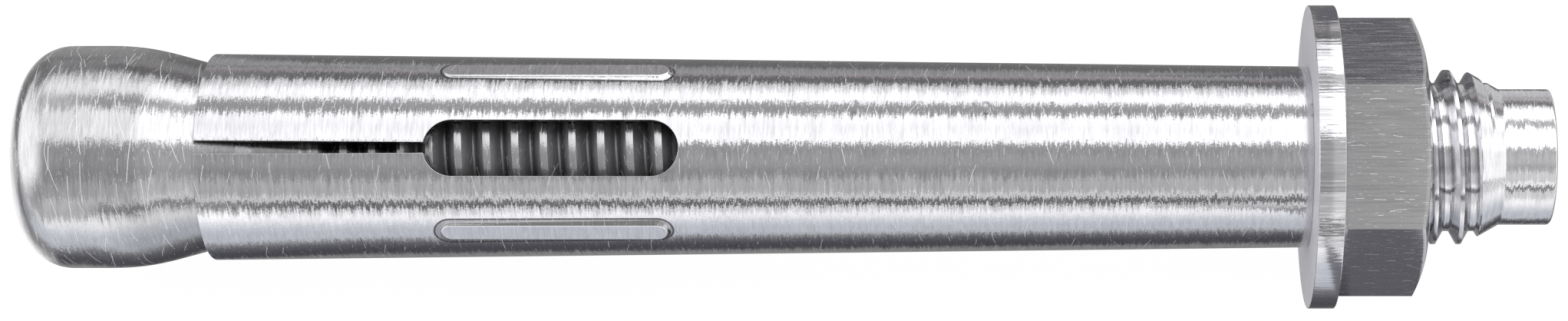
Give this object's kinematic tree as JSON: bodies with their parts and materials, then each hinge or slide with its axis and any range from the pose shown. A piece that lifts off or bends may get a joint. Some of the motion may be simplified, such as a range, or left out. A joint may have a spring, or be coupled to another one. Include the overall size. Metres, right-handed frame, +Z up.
{
  "type": "sleeve anchor",
  "caption": "Sleeve anchor for masonry: a bulb-ended threaded stud in a long tapered sleeve with slots and grip pads, with a plain washer, a hexagon nut and a dog point.",
  "frame": {"origin": "on the anchor's axis, in the plane where the washer bears on the fixture", "axes": "+X along the axis from the bulb to the dog point, +Z up with the anchor lying on its side"},
  "size_m": [0.1045, 0.0208, 0.0208],
  "materials": {
    "stud_steel": "bright zinc plated carbon steel, with fine turning marks and scuffs",
    "sleeve_steel": "bright zinc plated steel, with fine marks round it, scratches and nicks",
    "washer_steel": "bright zinc plated steel, with a smooth face and a sheared rim",
    "nut_steel": "bright zinc plated steel, with drawing marks along its flats"
  },
  "bodies": {
    "stud": {"stud": "stud_steel"},
    "sleeve": {"expansion_sleeve": "sleeve_steel"},
    "washer": {"washer": "washer_steel"},
    "nut": {"hex_nut": "nut_steel"}
  },
  "joints": [
    {"name": "sleeve_set", "type": "slide", "parent": "stud", "child": "sleeve", "axis": [1, 0, 0], "range_m": [-0.0035, 0], "deforming": ["expansion_sleeve"]},
    {"name": "washer_slide", "type": "slide", "parent": "sleeve", "child": "washer", "axis": [1, 0, 0], "range_m": [0, 0.00526]},
    {"name": "nut_turn", "type": "hinge", "parent": "washer", "child": "nut", "pos_m": [0.00475, 0, 0], "axis": [1, 0, 0], "range_deg": [0, 1080]}
  ],
  "couplings": [
    {"joint": "washer_slide", "follows": "nut_turn", "m_per_rad": 0.00027852}
  ]
}
